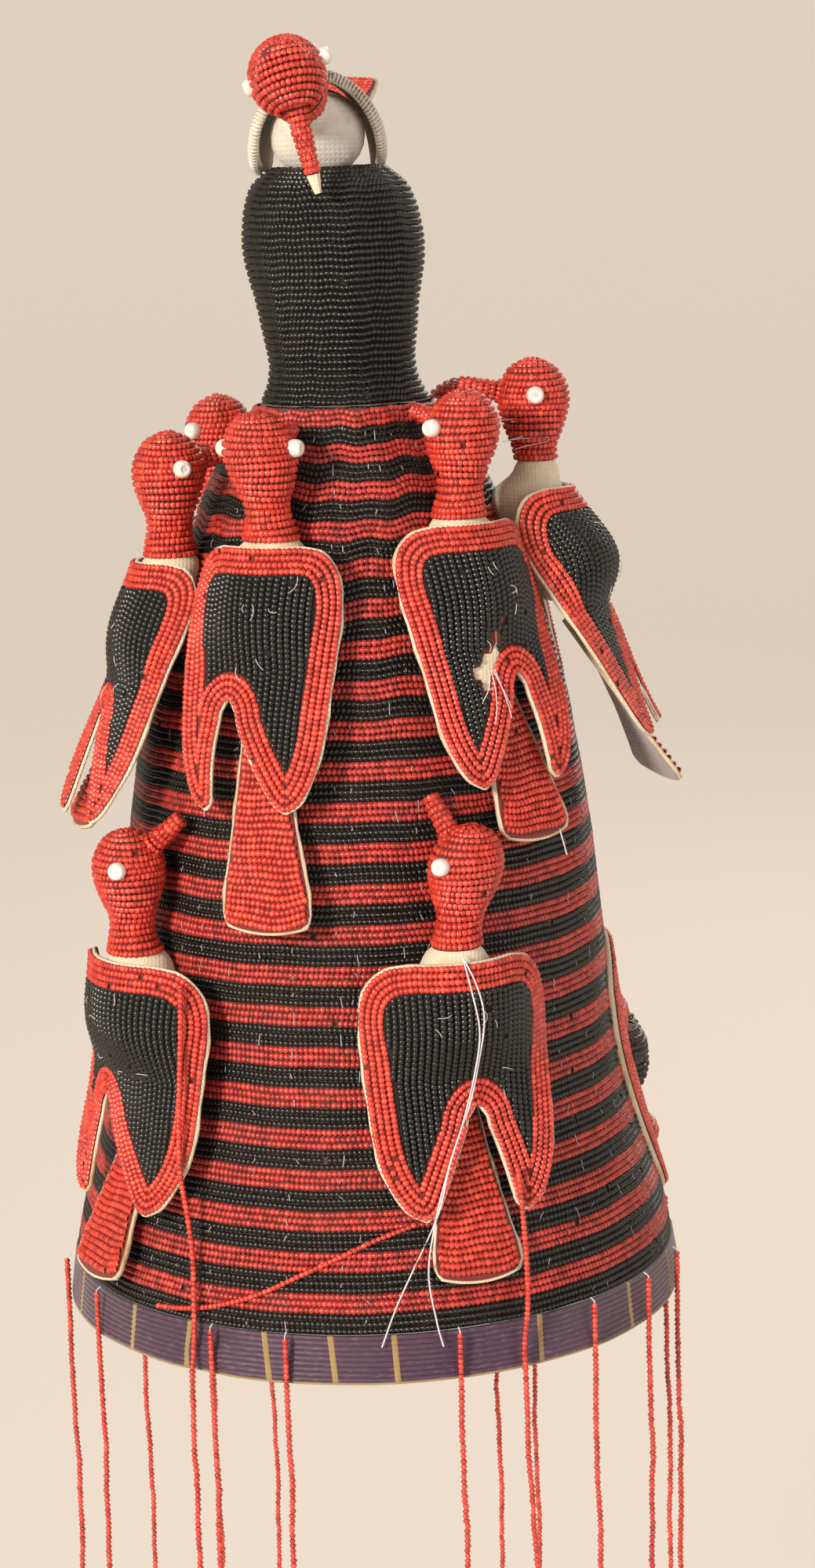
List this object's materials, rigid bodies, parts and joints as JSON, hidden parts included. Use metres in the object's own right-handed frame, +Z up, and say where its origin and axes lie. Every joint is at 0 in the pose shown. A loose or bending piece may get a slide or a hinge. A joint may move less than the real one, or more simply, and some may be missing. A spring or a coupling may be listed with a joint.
{
  "type": "beaded crown",
  "caption": "Tall hollow conical crown covered in rows of seed beads, with a knob, perched birds, a relief face panel, a ribbon rim and hanging bead strands.",
  "frame": {"origin": "centre of the rim's lower edge, where the crown sits on a head", "axes": "+Z up along the crown's axis, -Y towards the side that the picture shows, +X to that side's right"},
  "size_m": [0.2105, 0.2119, 0.5773],
  "materials": {
    "striped_beads": "rows of red and black glass seed beads sewn on stiffened cloth",
    "black_beads": "rows of black glass seed beads",
    "red_beads": "rows of red glass seed beads",
    "wing_beads": "black glass seed beads with a red border and a cream cloth edge",
    "strand_beads": "red glass seed beads on thread",
    "ribbon": "purple ribbed ribbon with ochre stripes",
    "cloth": "cream cotton cloth, stained"
  },
  "bodies": {
    "root": {"cap": "striped_beads", "rim_band": "ribbon", "knob": "black_beads", "bird_top_form": "red_beads", "bird_top_wings": "wing_beads", "bird_top_tail": "red_beads", "bird_top_beak_tip": "cloth", "bird_upper_1_form": "red_beads", "bird_upper_1_wings": "wing_beads", "bird_upper_1_tail": "red_beads", "bird_upper_2_form": "red_beads", "bird_upper_2_wings": "wing_beads", "bird_upper_2_tail": "red_beads", "bird_upper_3_form": "red_beads", "bird_upper_3_wings": "wing_beads", "bird_upper_3_tail": "red_beads", "bird_upper_4_form": "red_beads", "bird_upper_4_wings": "wing_beads", "bird_upper_4_tail": "red_beads", "bird_upper_5_form": "red_beads", "bird_upper_5_wings": "wing_beads", "bird_upper_5_tail": "red_beads", "bird_upper_6_form": "red_beads", "bird_upper_6_wings": "wing_beads", "bird_upper_6_tail": "red_beads", "bird_lower_1_form": "red_beads", "bird_lower_1_wings": "wing_beads", "bird_lower_1_tail": "red_beads", "bird_lower_2_form": "red_beads", "bird_lower_2_wings": "wing_beads", "bird_lower_2_tail": "red_beads", "bird_lower_3_form": "red_beads", "bird_lower_3_wings": "wing_beads", "bird_lower_3_tail": "red_beads", "face_panel": "red_beads", "face_eye_left": "black_beads", "face_eye_right": "black_beads", "face_nose": "black_beads", "face_mouth": "red_beads", "strand_01": "strand_beads", "strand_02": "strand_beads", "strand_03": "strand_beads", "strand_04": "strand_beads", "strand_05": "strand_beads", "strand_06": "strand_beads", "strand_07": "strand_beads", "strand_08": "strand_beads", "strand_09": "strand_beads", "strand_10": "strand_beads", "strand_11": "strand_beads", "strand_12": "strand_beads", "strand_13": "strand_beads", "strand_14": "strand_beads", "strand_loose": "strand_beads", "strand_wing": "strand_beads", "strand_tail": "strand_beads"}
  },
  "joints": []
}
